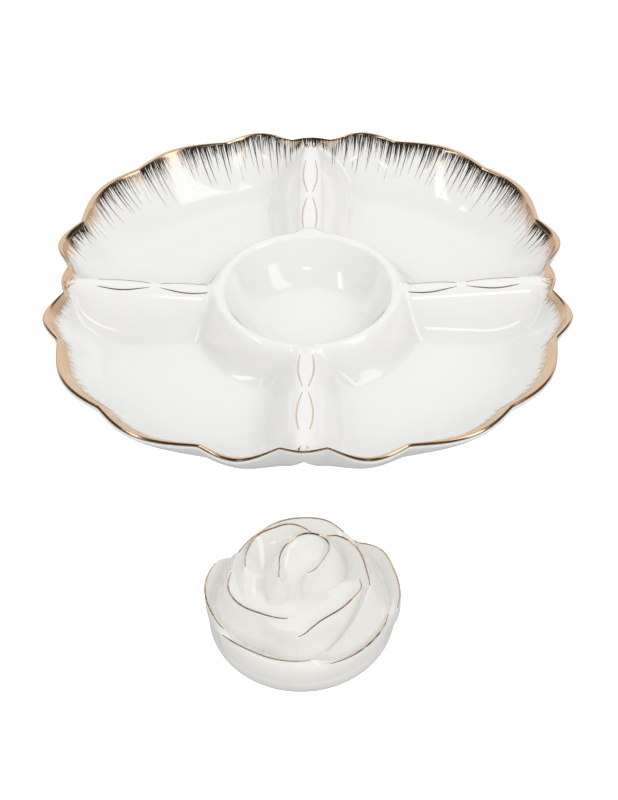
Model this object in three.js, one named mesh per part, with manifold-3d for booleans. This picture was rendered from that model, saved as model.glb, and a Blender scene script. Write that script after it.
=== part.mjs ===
// Chip and dip server: a scalloped four-compartment serving tray with a dip bowl in its
// middle, and a rose-shaped lid for the bowl that stands on the table in front of the tray.
// Millimetres, +Z up. The tray's centre, on the table, is the origin; the lid lies along -Y.

import * as THREE from 'three';
import { mergeVertices } from 'three/addons/utils/BufferGeometryUtils.js';
import Module from 'manifold-3d';

const wasm = await Module();
wasm.setup();
const { Manifold, Mesh: ManifoldMesh } = wasm;

// ---------------------------------------------------------------- driving dimensions
const RIM_RADIUS = 170;              // the profile's rim, before the scallops
const RIM_HEIGHT = 40;
const WALL = 5;                      // thickness of the cast wall
const WALL_RUN = 53.5;               // sideways, from the floor's edge to the rim's crown
const FLOOR_HEIGHT = 9;              // top of the compartments' floor

// Scallops over one eighth of the rim, from a divider to the middle of a compartment:
// angle in degrees, and how far the rim stands out there, alternately a lobe and a notch.
const SCALLOPS = [[0, -12], [5, -14.5], [14, -0.5], [21.5, -5.3], [36, 5.1], [45, 1.5]];
const SCALLOP_SHARPNESS = 1.2;       // above 1 rounds the notches
const SCALLOP_FADE = 1.5;            // above 1 keeps the scallops near the rim
const SCALLOP_STEP = 5;              // degrees between meridians, about

const BOWL_FLOOR_HEIGHT = 6;
const BOWL_FLOOR_RADIUS = 26;
const BOWL_MOUTH_RADIUS = 51.9;      // inner ring, where the bowl's wall starts
const BOWL_MOUTH_HEIGHT = 28.8;
const BOWL_LIP_WIDTH = 5.7;          // from the inner ring to the crest
const BOWL_CREST_HEIGHT = 31;
const BOWL_FLANK_RUN = 22.4;         // sideways, from the crest down to the floor
const BOWL_FLOOR_PULL = 12;          // how long its wall's curve hugs the floor
const BOWL_WALL_PULL = 5;            // how far that curve leans in, halfway up
const LIP_PULL = [2, 0.6];           // how the lip's curve leaves the mouth
const FLANK_PULL = [6, 12];          // how long the flank hugs the crest, and the floor

const DIVIDER_NAMES = ['right', 'back', 'left', 'front'];
const DIVIDER_START_HEIGHT = 30.4;   // at the bowl's crest
const DIVIDER_CLIMB = 0.079;         // mm of height for each mm outwards
const DIVIDER_BELOW_RIM = 3.5;       // at its outer end
const DIVIDER_SLOPE = 1.25;          // steepness of a divider's sides
const DIVIDER_TOP_HALF_WIDTH = 5;
const DIVIDER_LEVEL_SHARE = 0.4;     // of that half width, before it starts to round off
const DIVIDER_SINK = 2;              // steepness with which a ridge dives into the bowl's crest
const DIVIDER_CLAY = 1.8;            // clay over the hollow below a divider, in wall thicknesses
const DIVIDER_FILLET = 9;            // height over which a side blends into the floor

const BOWL_CURVE_STEPS = 4;

const FOOT_INSET = 15;               // from the floor's edge in to the foot ring
const FOOT_WIDTH = 7;
const PAD_RADIUS = 36;               // flat pad under the bowl
const RECESS_HEIGHT = 3.6;           // between the foot ring and the pad
const FOOT_TAPER = 2;                // sideways, down a foot ring's sides
const PAD_TAPER = 7;                 // sideways, down the pad's side
const UNDERSIDE_END = 0.1;           // radians round the wall's arc, where the outside ends

const LINE_RADIUS = 0.55;            // gilded line
const BAND_DEPTH = 0.6;              // thickness of the rim's gilding
const GAP = 0.3;                     // between a gilded line and the glaze
const BAND_GAP = 0.45;               // between the rim's gilding and the glaze below it
const BAND_END_GAP = 1;              // and past the band's edges
const BAND_START_ANGLE = 49;         // degrees round the wall's arc, where the band starts
const BAND_END_ANGLE = 4;            // degrees that it runs down the outside

const LENS_START = 3.4;              // from the bowl's crest to the first pair of lines
const LENS_GAP = 6;                  // between the two pairs, at the knot
const BRUSH_ROOM = 23.7;             // left for brush strokes, between the last pair and the band
const LENS_HALF_WIDTH = 4.8;
const LENS_KNOT_HALF_WIDTH = 1.9;
const LENS_FAR_HALF_WIDTH = 3.3;

const LID_CLEARANCE = 2.3;           // between the lid's wall and the bowl's mouth
const LID_HEIGHT = 48;
const LID_CORNER_INSET = 2.6;        // how far the rounded bottom corner goes in
const LID_CORNER_HEIGHT = 7;
const LID_FOOT_WIDTH = 4;
const LID_SHOULDER_HEIGHT = 15;      // lowest valley between the outer petals
const LID_CROWN_THICKNESS = 17;      // clay above the hollow, under the bud
const LID_FLARE = 0.6;               // glaze past an outer petal's lip
const LID_MERIDIANS = 64;
const LID_RINGS = 16;
const TABLE_GAP = 25.4;              // between the tray and the lid that stands beside it

// Petal lips: angle in degrees, distance from the middle as a share of the lid's wall radius,
// and height as a share of the lid's height. The bud's are measured from its own middle.
const BUD_CENTRE = [0.04, 0.12];
const PETALS = {
  outer_left: [
    [-211, 0.95, 0.56], [-199, 1.03, 0.54], [-184, 1.03, 0.52], [-162, 0.97, 0.48],
    [-149, 0.93, 0.46],
  ],
  outer_front_left: [[-146, 0.98, 0.46], [-127, 0.9, 0.44], [-109, 0.87, 0.42], [-83, 0.85, 0.42]],
  outer_front_right: [[-70, 0.93, 0.4], [-53, 0.95, 0.42], [-27, 0.98, 0.48], [-19, 0.97, 0.52]],
  outer_right: [
    [-12, 1.04, 0.5], [-4, 1.05, 0.54], [15, 1.02, 0.58], [33, 1, 0.58], [49, 0.85, 0.56],
  ],
  middle_left: [
    [-185, 0.74, 0.75], [-171, 0.77, 0.73], [-156, 0.73, 0.71], [-133, 0.6, 0.69],
    [-105, 0.5, 0.65],
  ],
  middle_right: [
    [-91, 0.68, 0.6], [-66, 0.56, 0.67], [-31, 0.6, 0.73], [-12, 0.65, 0.75], [-4, 0.62, 0.75],
  ],
  back: [
    [53, 0.76, 0.77], [70, 0.81, 0.79], [87, 0.81, 0.79], [109, 0.79, 0.79], [127, 0.75, 0.79],
    [153, 0.75, 0.75],
  ],
  inner_left: [
    [78, 0.51, 0.9], [100, 0.63, 0.9], [119, 0.64, 0.9], [133, 0.67, 0.88], [154, 0.64, 0.85],
    [172, 0.59, 0.83],
  ],
  inner_right: [
    [-15, 0.75, 0.85], [0, 0.69, 0.88], [29, 0.65, 0.9], [50, 0.59, 0.9], [59, 0.52, 0.9],
  ],
  bud: [
    [-80, 0.22, 0.94], [-17, 0.21, 0.98], [28, 0.29, 1], [74, 0.29, 1], [139, 0.23, 1],
    [208, 0.29, 0.96], [225, 0.37, 0.92],
  ],
};
const LIP_FALL = 2.2;                // steepness outside a lip
const LIP_CUP = 0.28;                // steepness inside it
const LIP_ROUND = 1.6;
const LIP_FADE = 0.9;                // mm of sinking for each degree past a lip's ends
const LIP_BLEND = 2.5;               // height over which petals blend
const FLARE_FADE = 0.4;              // mm of flare lost for each degree past a lip's ends
const LIP_LINE_STEP = 14;            // degrees between points of a gilded lip, about
const LID_WALL_STEPS = [1.5, 1, 0.3];          // in heights of the rounded bottom corner
const LID_CAVITY_STEPS = [0.93, 0.8, 0.6, 0.3, 0];  // shares of the cavity's radius

// ---------------------------------------------------------------- sizes that follow
const DIVIDER_COUNT = DIVIDER_NAMES.length;
const FLOOR_EDGE_RADIUS = RIM_RADIUS - WALL / 2 - WALL_RUN;
const BOWL_CREST_RADIUS = BOWL_MOUTH_RADIUS + BOWL_LIP_WIDTH;
const BOWL_FLANK_RADIUS = BOWL_CREST_RADIUS + BOWL_FLANK_RUN;
const FOOT_OUTER_RADIUS = FLOOR_EDGE_RADIUS - FOOT_INSET;
const FOOT_INNER_RADIUS = FOOT_OUTER_RADIUS - FOOT_WIDTH;
const LID_WALL_RADIUS = BOWL_MOUTH_RADIUS - LID_CLEARANCE;
const LID_BASE_RADIUS = LID_WALL_RADIUS - LID_CORNER_INSET;
const LID_CAVITY_RADIUS = LID_BASE_RADIUS - LID_FOOT_WIDTH;
const LID_STAND = [0, -(RIM_RADIUS + LID_WALL_RADIUS + TABLE_GAP)];

// ---------------------------------------------------------------- materials
const glaze = () => new THREE.MeshStandardMaterial({ color: 0xf1f1ee, roughness: 0.12, metalness: 0 });
const gold = () => new THREE.MeshStandardMaterial({ color: 0xd9a877, roughness: 0.2, metalness: 0.9 });

// ---------------------------------------------------------------- helpers
const radians = THREE.MathUtils.degToRad;
const lerp = THREE.MathUtils.lerp;
const clamp = THREE.MathUtils.clamp;

/** The larger of two heights, blended over a height of k. */
function softMax(a, b, k) {
  const h = Math.max(0, 1 - Math.abs(a - b) / k);
  return Math.max(a, b) + h * h * k / 4;
}

/** A value that runs smoothly through [x, ...values] stations, ordered by x. */
function throughStations(stations, x, column) {
  const last = stations.length - 1;
  let i = 0;
  while (i < last - 1 && x > stations[i + 1][0]) i += 1;
  const tangent = (j) => {
    const a = stations[Math.max(0, j - 1)];
    const b = stations[Math.min(last, j + 1)];
    return (b[column] - a[column]) / (b[0] - a[0]);
  };
  const [p, q] = [stations[i], stations[i + 1]];
  const span = q[0] - p[0];
  const t = clamp((x - p[0]) / span, 0, 1);
  const [t2, t3] = [t * t, t * t * t];
  return (2 * t3 - 3 * t2 + 1) * p[column] + (t3 - 2 * t2 + t) * span * tangent(i)
    + (3 * t2 - 2 * t3) * q[column] + (t3 - t2) * span * tangent(i + 1);
}

function toManifold(geometry) {
  const bare = geometry.clone();
  bare.deleteAttribute('normal');
  bare.deleteAttribute('uv');
  const merged = mergeVertices(bare, 1e-4);
  const mesh = new ManifoldMesh({
    numProp: 3,
    vertProperties: new Float32Array(merged.attributes.position.array),
    triVerts: new Uint32Array(merged.index.array),
  });
  mesh.merge();
  return new Manifold(mesh);
}

function toGeometry(solid) {
  const mesh = solid.getMesh();
  const geometry = new THREE.BufferGeometry();
  geometry.setAttribute('position', new THREE.BufferAttribute(new Float32Array(mesh.vertProperties), 3));
  geometry.setIndex(new THREE.BufferAttribute(new Uint32Array(mesh.triVerts), 1));
  geometry.computeVertexNormals();
  return geometry;
}

/** A lathe whose every vertex is placed by a rule of its meridian's angle and its station. */
function placedLathe(stations, meridians, place) {
  const profile = [...stations].reverse();
  const outline = profile.map((station, j) => new THREE.Vector2(1, j));
  const geometry = new THREE.LatheGeometry(outline, meridians.length);
  const position = geometry.attributes.position;
  for (let i = 0; i <= meridians.length; i += 1) {
    const angle = meridians[i % meridians.length];
    for (let j = 0; j < profile.length; j += 1) {
      const [radius, height] = place(angle, profile[j]);
      position.setXYZ(i * profile.length + j, radius * Math.cos(angle), radius * Math.sin(angle), height);
    }
  }
  return toManifold(geometry);
}

// ---------------------------------------------------------------- tray surface
const CROWN_RADIUS = WALL / 2;
const CROWN_RISE = RIM_HEIGHT - FLOOR_HEIGHT;
// The middle of the wall is one arc, level at the floor's edge, that ends at the crown.
const MIDWALL_RADIUS = (WALL_RUN ** 2 + CROWN_RISE ** 2) / (2 * CROWN_RISE);
const CROWN_ANGLE = Math.atan2(WALL_RUN, MIDWALL_RADIUS - CROWN_RISE);
const RIM_ARC_RADIUS = MIDWALL_RADIUS - CROWN_RADIUS;
const RIM_ARC_CENTRE = [FLOOR_EDGE_RADIUS, FLOOR_HEIGHT + RIM_ARC_RADIUS];

/** The scalloped rim's radius at an angle in radians. */
function rimRadius(angle) {
  const sector = 360 / DIVIDER_COUNT;
  const turned = ((THREE.MathUtils.radToDeg(angle) % sector) + sector) % sector;
  const folded = Math.min(turned, sector - turned) * 45 / (sector / 2);
  let i = 0;
  while (i < SCALLOPS.length - 2 && folded > SCALLOPS[i + 1][0]) i += 1;
  const [near, far] = [SCALLOPS[i], SCALLOPS[i + 1]];
  const t = clamp((folded - near[0]) / (far[0] - near[0]), 0, 1);
  const [notch, lobe, way] = near[1] < far[1] ? [near[1], far[1], t] : [far[1], near[1], 1 - t];
  return RIM_RADIUS + lerp(notch, lobe, Math.sin(way * Math.PI / 2) ** SCALLOP_SHARPNESS);
}

/** Carries a profile radius to the real one: the scallops fade out down the wall. */
function scalloped(angle, rho) {
  const share = clamp((rho - FLOOR_EDGE_RADIUS) / (RIM_RADIUS - FLOOR_EDGE_RADIUS), 0, 1.1);
  return rho + (rimRadius(angle) - RIM_RADIUS) * share ** SCALLOP_FADE;
}

/** Sideways distance from the nearest divider's middle line. */
function besideDivider(angle, radius) {
  const sector = 2 * Math.PI / DIVIDER_COUNT;
  const off = angle - Math.round(angle / sector) * sector;
  return Math.abs(radius * Math.sin(off));
}

function dividerTop(radius) {
  const inside = Math.max(0, BOWL_CREST_RADIUS + WALL / 2 - radius);
  const climb = DIVIDER_START_HEIGHT + (radius - BOWL_CREST_RADIUS) * DIVIDER_CLIMB;
  return Math.min(climb - DIVIDER_SINK * inside, RIM_HEIGHT - DIVIDER_BELOW_RIM);
}

function dividerHeight(radius, beside) {
  const round = DIVIDER_TOP_HALF_WIDTH;
  const past = Math.max(0, beside - round * DIVIDER_LEVEL_SHARE);
  return dividerTop(radius) - DIVIDER_SLOPE * (Math.hypot(past, round) - round);
}

/** Height of the floor, and of the wall's inner face up to the crown. */
function wallHeight(rho) {
  const run = clamp(rho - FLOOR_EDGE_RADIUS, 0, RIM_ARC_RADIUS);
  return RIM_ARC_CENTRE[1] - Math.sqrt(RIM_ARC_RADIUS ** 2 - run ** 2);
}

/** How far a divider raises the top surface, fading out up the rim. */
function dividerLift(angle, rho, z) {
  const radius = scalloped(angle, rho);
  const ridge = dividerHeight(radius, besideDivider(angle, radius));
  const crownRho = RIM_RADIUS - WALL;
  const fade = 1 - clamp((rho - crownRho + DIVIDER_FILLET) / DIVIDER_FILLET, 0, 1) ** 2;
  return (softMax(z, ridge, DIVIDER_FILLET) - z) * fade;
}

/** Raises a top station into the dividers. */
function placeTop(angle, [rho, z]) {
  if (rho < BOWL_MOUTH_RADIUS) return [rho, z];
  const level = rho > FLOOR_EDGE_RADIUS ? wallHeight(rho) : z;
  return [scalloped(angle, rho), z + dividerLift(angle, rho, level)];
}

/** Raises a station of the rim's section: its outside stays, its inside follows the top. */
function placeRim(angle, station) {
  const inside = station[0] < RIM_RADIUS - WALL;
  return inside ? placeTop(angle, station) : [scalloped(angle, station[0]), station[1]];
}

/** Raises an underside station into the hollow below a divider. */
function placeUnder(angle, [rho, z]) {
  const radius = scalloped(angle, rho);
  const solid = rho < BOWL_CREST_RADIUS + WALL || z < RECESS_HEIGHT || z > RIM_HEIGHT - 2 * WALL;
  if (solid) return [radius, z];
  const beside = besideDivider(angle, radius);
  const hollow = dividerTop(radius) - DIVIDER_CLAY * WALL - DIVIDER_SLOPE * beside;
  return [radius, Math.max(z, hollow)];
}

/** Points of a circle's arc in the profile's plane; angles in radians from straight down. */
function arc([x, z], radius, from, to, steps) {
  const points = [];
  for (let i = 0; i <= steps; i += 1) {
    const a = lerp(from, to, i / steps);
    points.push([x + radius * Math.sin(a), z - radius * Math.cos(a)]);
  }
  return points;
}

const BAND_START = radians(BAND_START_ANGLE);
const BAND_END = CROWN_ANGLE - radians(BAND_END_ANGLE);

/** The rim's section under its gilding, sunk by a depth and longer by a gap at both ends. */
function rimSection(depth, endGap) {
  const start = BAND_START - endGap / RIM_ARC_RADIUS;
  const stops = [...(endGap > 0 ? [start] : []), BAND_START, (BAND_START + CROWN_ANGLE) / 2];
  const inside = stops.map((a) => {
    const [[x, z]] = arc(RIM_ARC_CENTRE, RIM_ARC_RADIUS, a, a, 1);
    return [x, z - depth / Math.cos(a)];
  });
  const [crown] = arc(RIM_ARC_CENTRE, MIDWALL_RADIUS, CROWN_ANGLE, CROWN_ANGLE, 1);
  const end = BAND_END - endGap / RIM_ARC_RADIUS;
  return [
    ...inside,
    ...arc(crown, CROWN_RADIUS - depth, CROWN_ANGLE + Math.PI, CROWN_ANGLE, 4),
    ...arc(RIM_ARC_CENTRE, RIM_ARC_RADIUS + WALL - depth, end, end, 1).slice(1),
  ];
}

/** Top of the bowl: pad, curved wall, mouth, crest and flank, out to the floor. */
function bowlTop() {
  const path = new THREE.Path();
  path.moveTo(0, BOWL_FLOOR_HEIGHT);
  path.lineTo(BOWL_FLOOR_RADIUS, BOWL_FLOOR_HEIGHT);
  path.bezierCurveTo(
    BOWL_FLOOR_RADIUS + BOWL_FLOOR_PULL, BOWL_FLOOR_HEIGHT,
    BOWL_MOUTH_RADIUS - BOWL_WALL_PULL, (BOWL_MOUTH_HEIGHT + BOWL_FLOOR_HEIGHT) / 2,
    BOWL_MOUTH_RADIUS, BOWL_MOUTH_HEIGHT);
  path.bezierCurveTo(
    BOWL_MOUTH_RADIUS + LIP_PULL[0], BOWL_MOUTH_HEIGHT + LIP_PULL[1],
    BOWL_CREST_RADIUS - LIP_PULL[0], BOWL_CREST_HEIGHT,
    BOWL_CREST_RADIUS, BOWL_CREST_HEIGHT);
  path.bezierCurveTo(
    BOWL_CREST_RADIUS + FLANK_PULL[0], BOWL_CREST_HEIGHT,
    BOWL_FLANK_RADIUS - FLANK_PULL[1], FLOOR_HEIGHT,
    BOWL_FLANK_RADIUS, FLOOR_HEIGHT);
  return path.getPoints(BOWL_CURVE_STEPS).map((p) => [p.x, p.y]);
}

/** Underside, from the outside of the rim in to the axis: foot, recess, hollow bowl, pad. */
function underside() {
  const hollowHeight = BOWL_MOUTH_HEIGHT - WALL;
  const outsideStart = BAND_END - BAND_END_GAP / RIM_ARC_RADIUS;
  const recessEdge = Math.min(BOWL_FLANK_RADIUS, FOOT_INNER_RADIUS - 1) - FOOT_TAPER;
  return [
    ...arc(RIM_ARC_CENTRE, RIM_ARC_RADIUS + WALL, outsideStart, UNDERSIDE_END, 5),
    [FOOT_OUTER_RADIUS + FOOT_TAPER, RECESS_HEIGHT],
    [FOOT_OUTER_RADIUS, 0],
    [FOOT_INNER_RADIUS, 0],
    [FOOT_INNER_RADIUS - FOOT_TAPER, RECESS_HEIGHT],
    [recessEdge, RECESS_HEIGHT + 0.1],
    [BOWL_CREST_RADIUS + 0.6 * WALL, hollowHeight - 0.6 * WALL],
    [BOWL_CREST_RADIUS - 0.2 * WALL, hollowHeight],
    [BOWL_MOUTH_RADIUS + 0.2 * WALL, hollowHeight - 0.8 * WALL],
    [PAD_RADIUS + PAD_TAPER, RECESS_HEIGHT],
    [PAD_RADIUS, 0],
    [0, 0],
  ];
}

/** Meridian angles: every lobe and notch, with equal steps between them. */
function meridianAngles() {
  const eighth = [];
  for (let i = 0; i < SCALLOPS.length - 1; i += 1) {
    const [from, to] = [SCALLOPS[i][0], SCALLOPS[i + 1][0]];
    const steps = Math.max(2, Math.round((to - from) / SCALLOP_STEP));
    for (let k = 0; k < steps; k += 1) eighth.push(lerp(from, to, k / steps));
  }
  const sector = 360 / DIVIDER_COUNT;
  const scaled = eighth.map((a) => a * sector / 90);
  const half = [...scaled, sector / 2, ...scaled.slice(1).reverse().map((a) => sector - a)];
  const all = [];
  for (let d = 0; d < DIVIDER_COUNT; d += 1) all.push(...half.map((a) => radians(a + d * sector)));
  return all;
}

const MERIDIANS = meridianAngles();

/** The whole casting, its rim still without the rabbet for the gilding. */
function trayCasting() {
  const top = [
    ...bowlTop(),
    [(BOWL_FLANK_RADIUS + FLOOR_EDGE_RADIUS) / 2, FLOOR_HEIGHT],
    ...arc(RIM_ARC_CENTRE, RIM_ARC_RADIUS, 0, BAND_START - BAND_END_GAP / RIM_ARC_RADIUS, 4),
  ];
  const rim = rimSection(0, 0);
  const isTop = new Set(top);
  const isRim = new Set(rim);
  return placedLathe([...top, ...rim, ...underside()], MERIDIANS, (angle, station) => {
    if (isTop.has(station)) return placeTop(angle, station);
    if (isRim.has(station)) return placeRim(angle, station);
    return placeUnder(angle, station);
  });
}

/** A ring between two depths below the rim's surface. */
function rimRing(outerDepth, innerDepth, endGap) {
  const outer = rimSection(outerDepth, endGap);
  const inner = rimSection(innerDepth, endGap);
  return placedLathe([...outer, ...inner.reverse(), outer[0]], MERIDIANS, placeRim);
}

const rimGilding = () => rimRing(0, BAND_DEPTH, 0);
const rimRabbet = () => rimRing(-CROWN_RADIUS / 2, BAND_DEPTH + BAND_GAP, BAND_END_GAP);

// ---------------------------------------------------------------- gilded lines
/** A round line of the given radius along some points. */
function bead(points, radius) {
  const curve = new THREE.CatmullRomCurve3(points);
  const section = new THREE.Shape();
  section.absarc(0, 0, radius, 0, 2 * Math.PI);
  const geometry = new THREE.ExtrudeGeometry(section, {
    steps: Math.max(4, points.length - 1),
    curveSegments: 3,
    bevelEnabled: false,
    extrudePath: curve,
  });
  return toManifold(geometry);
}

/** One gilded line and the wider groove that it lies in. */
function line(points) {
  const ends = [0, points.length - 1].map((i) => {
    const inward = points[i === 0 ? 1 : i - 1];
    return points[i].clone().sub(inward).setLength(GAP).add(points[i]);
  });
  const longer = [ends[0], ...points.slice(1, -1), ends[1]];
  return { solid: bead(points, LINE_RADIUS), groove: bead(longer, LINE_RADIUS + GAP) };
}

/** A point on top of a divider, at a profile radius and a sideways distance. */
function onDivider(heading, rho, sideways) {
  const along = scalloped(0, rho);
  const angle = Math.asin(sideways / along);
  const height = placeTop(angle, [rho, wallHeight(rho)])[1];
  return new THREE.Vector3(along * Math.cos(heading + angle), along * Math.sin(heading + angle), height);
}

/** Half the width of a pair of lines, from the knot, at 0, to the far end, at 1. */
function lensHalfWidth(t) {
  const bulge = LENS_HALF_WIDTH - (LENS_KNOT_HALF_WIDTH + LENS_FAR_HALF_WIDTH) / 2;
  return lerp(LENS_KNOT_HALF_WIDTH, LENS_FAR_HALF_WIDTH, t) + bulge * Math.sin(Math.PI * t);
}

function dividerLines() {
  const lines = {};
  const start = BOWL_CREST_RADIUS + LENS_START;
  const end = FLOOR_EDGE_RADIUS + RIM_ARC_RADIUS * Math.sin(BAND_START) - BRUSH_ROOM;
  const length = (end - start - LENS_GAP) / 2;
  const knot = (start + end) / 2;
  for (let d = 0; d < DIVIDER_COUNT; d += 1) {
    const heading = d * 2 * Math.PI / DIVIDER_COUNT;
    for (const [lens, way] of [['inner', -1], ['outer', 1]]) {
      for (const [side, sign] of [['a', 1], ['b', -1]]) {
        const points = [];
        for (let i = 0; i <= 6; i += 1) {
          const t = i / 6;
          const rho = knot + way * (LENS_GAP / 2 + t * length);
          points.push(onDivider(heading, rho, sign * lensHalfWidth(t)));
        }
        lines[`divider_line_${DIVIDER_NAMES[d]}_${lens}_${side}`] = line(points);
      }
    }
  }
  return lines;
}

// ---------------------------------------------------------------- rose lid
/** A petal's stations in mm, and the middle that they are measured from. */
function petal(name) {
  const centre = name === 'bud' ? BUD_CENTRE.map((c) => c * LID_WALL_RADIUS) : [0, 0];
  const stations = PETALS[name].map(([a, r, h]) => [a, r * LID_WALL_RADIUS, h * LID_HEIGHT]);
  return { centre, stations };
}

/** Where an angle lies along a lip: the nearest angle on it, and the degrees past its end. */
function alongLip(stations, angle) {
  const [from, to] = [stations[0][0], stations[stations.length - 1][0]];
  const middle = (from + to) / 2;
  const turned = THREE.MathUtils.radToDeg(angle) - middle + 180;
  const unwrapped = middle + (((turned % 360) + 360) % 360) - 180;
  const nearest = clamp(unwrapped, from, to);
  return { nearest, past: Math.abs(unwrapped - nearest) };
}

/** Height of one petal over a point of the lid's plan; far below it past the lip's ends. */
function petalHeight({ centre, stations }, x, y) {
  const [dx, dy] = [x - centre[0], y - centre[1]];
  const { nearest, past } = alongLip(stations, Math.atan2(dy, dx));
  const out = Math.hypot(dx, dy) - throughStations(stations, nearest, 1);
  const fall = LIP_FALL * (Math.hypot(Math.max(0, out), LIP_ROUND) - LIP_ROUND);
  const sunk = LIP_FADE * past + LIP_CUP * Math.max(0, -out);
  return throughStations(stations, nearest, 2) - fall - sunk;
}

/** The lid's top surface over a point of its plan. */
function lidTop(x, y) {
  let height = LID_SHOULDER_HEIGHT;
  for (const name of Object.keys(PETALS)) {
    height = softMax(height, petalHeight(petal(name), x, y), LIP_BLEND);
  }
  return height;
}

/** Outer edge of the lid's top, at an angle: the wall, pushed out where a lip flares past it. */
function lidEdge(angle) {
  const outer = Object.keys(PETALS).filter((name) => name.startsWith('outer'));
  return outer.reduce((edge, name) => {
    const { stations } = petal(name);
    const { nearest, past } = alongLip(stations, angle);
    const flared = throughStations(stations, nearest, 1) + LID_FLARE - FLARE_FADE * past;
    return softMax(edge, flared, LIP_BLEND);
  }, LID_WALL_RADIUS - LID_FLARE);
}

/** One point of the lid's outline, at an angle: how far out, and how high. */
function placeLid(angle, { kind, value }) {
  if (kind === 'top') {
    const radius = value * lidEdge(angle);
    return [radius, lidTop(radius * Math.cos(angle), radius * Math.sin(angle))];
  }
  if (kind === 'wall') {
    const corner = Math.max(0, 1 - value / LID_CORNER_HEIGHT);
    return [LID_WALL_RADIUS - LID_CORNER_INSET * corner ** 2, value];
  }
  if (kind === 'base') return [value, 0];
  const domeHeight = LID_HEIGHT - LID_CROWN_THICKNESS;
  return [value * LID_CAVITY_RADIUS, domeHeight * (1 - value * value)];
}

function lidCasting() {
  const shares = Array.from({ length: LID_RINGS + 1 }, (_, i) => i / LID_RINGS);
  const outline = [
    ...shares.map((value) => ({ kind: 'top', value })),
    ...LID_WALL_STEPS.map((share) => ({ kind: 'wall', value: share * LID_CORNER_HEIGHT })),
    ...[LID_BASE_RADIUS, LID_CAVITY_RADIUS].map((value) => ({ kind: 'base', value })),
    ...LID_CAVITY_STEPS.map((value) => ({ kind: 'cavity', value })),
  ];
  const step = 2 * Math.PI / LID_MERIDIANS;
  const meridians = Array.from({ length: LID_MERIDIANS }, (_, i) => i * step);
  return placedLathe(outline, meridians, placeLid);
}

function lidLines() {
  const lines = {};
  for (const name of Object.keys(PETALS)) {
    const { centre, stations } = petal(name);
    const [from, to] = [stations[0][0], stations[stations.length - 1][0]];
    const steps = Math.max(6, Math.round((to - from) / LIP_LINE_STEP));
    const points = [];
    for (let i = 0; i <= steps; i += 1) {
      const degrees = lerp(from, to, i / steps);
      const radius = throughStations(stations, degrees, 1);
      const x = centre[0] + radius * Math.cos(radians(degrees));
      const y = centre[1] + radius * Math.sin(radians(degrees));
      points.push(new THREE.Vector3(x, y, lidTop(x, y)));
    }
    lines[`lid_line_${name}`] = line(points);
  }
  return lines;
}

// ---------------------------------------------------------------- scene
function addMesh(group, name, solid, material) {
  const mesh = new THREE.Mesh(toGeometry(solid), material);
  mesh.name = name;
  group.add(mesh);
}

/** Adds a cast body, with a groove for each gilded line, and the lines themselves. */
function addCasting(group, name, blank, lines) {
  let body = blank;
  for (const { groove } of Object.values(lines)) body = body.subtract(groove);
  addMesh(group, name, body, glaze());
  for (const [lineName, { solid }] of Object.entries(lines)) addMesh(group, lineName, solid, gold());
}

const server = new THREE.Group();
addCasting(server, 'tray', trayCasting().subtract(rimRabbet()), dividerLines());
addMesh(server, 'rim_gilding', rimGilding(), gold());

const lid = new THREE.Group();
lid.position.set(LID_STAND[0], LID_STAND[1], 0);
addCasting(lid, 'rose_lid', lidCasting(), lidLines());
server.add(lid);

export default server;
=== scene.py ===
"""Chip and dip server: a scalloped, gilded serving tray and the rose-shaped lid of its dip bowl.

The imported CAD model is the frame. Every visible piece is remade here at full smoothness from the
same few sizes, rides on its CAD body and replaces its CAD node. Lengths are in metres.
"""

from __future__ import annotations

import logging
import math
import random
from dataclasses import dataclass, field
from enum import Enum
from typing import Callable

import bmesh
import bpy
from mathutils import Matrix, Vector

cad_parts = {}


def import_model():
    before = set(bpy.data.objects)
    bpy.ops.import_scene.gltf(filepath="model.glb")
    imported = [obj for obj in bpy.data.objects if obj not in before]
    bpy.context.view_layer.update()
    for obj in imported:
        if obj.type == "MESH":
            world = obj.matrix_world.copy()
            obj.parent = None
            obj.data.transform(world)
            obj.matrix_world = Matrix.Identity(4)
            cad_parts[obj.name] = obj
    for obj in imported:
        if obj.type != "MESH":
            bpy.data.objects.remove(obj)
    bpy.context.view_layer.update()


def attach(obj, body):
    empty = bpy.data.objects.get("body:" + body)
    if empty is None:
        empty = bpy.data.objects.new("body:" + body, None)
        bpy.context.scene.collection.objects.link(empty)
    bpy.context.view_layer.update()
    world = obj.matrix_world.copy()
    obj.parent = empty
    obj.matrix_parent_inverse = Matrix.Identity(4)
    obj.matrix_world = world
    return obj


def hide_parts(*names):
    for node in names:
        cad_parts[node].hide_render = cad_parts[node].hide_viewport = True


LOG = logging.getLogger("server")
MM = 0.001
FULL_TURN = 2 * math.pi
SPECKLE_LIMITS = (0.72, 0.8)  # how bright the noise is where a speck starts and where it is full


class Body(Enum):
    """The CAD bodies that pieces ride on."""

    TRAY = "tray"
    LID = "lid"


class Slot(Enum):
    """The record's material slots."""

    TRAY_GLAZE = "tray_glaze"
    LID_GLAZE = "lid_glaze"
    GOLD = "gold_lustre"


# ------------------------------------------------------------------ small mathematics
def clamp(value: float, low: float = 0.0, high: float = 1.0) -> float:
    """Keep a value between two limits."""
    return max(low, min(high, value))


def mix(a: float, b: float, share: float) -> float:
    """Go from a to b by a share."""
    return a + (b - a) * share


def smooth(value: float) -> float:
    """Ease a share between 0 and 1."""
    t = clamp(value)
    return t * t * (3 - 2 * t)


def soft_max(a: float, b: float, blend: float) -> float:
    """Give the larger of two heights, blended over a height.

    Args:
        a: One height.
        b: The other height.
        blend: The difference within which the two melt together.

    Returns:
        The blended height, never below either.
    """
    share = max(0.0, 1 - abs(a - b) / blend)
    return max(a, b) + share * share * blend / 4


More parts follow.
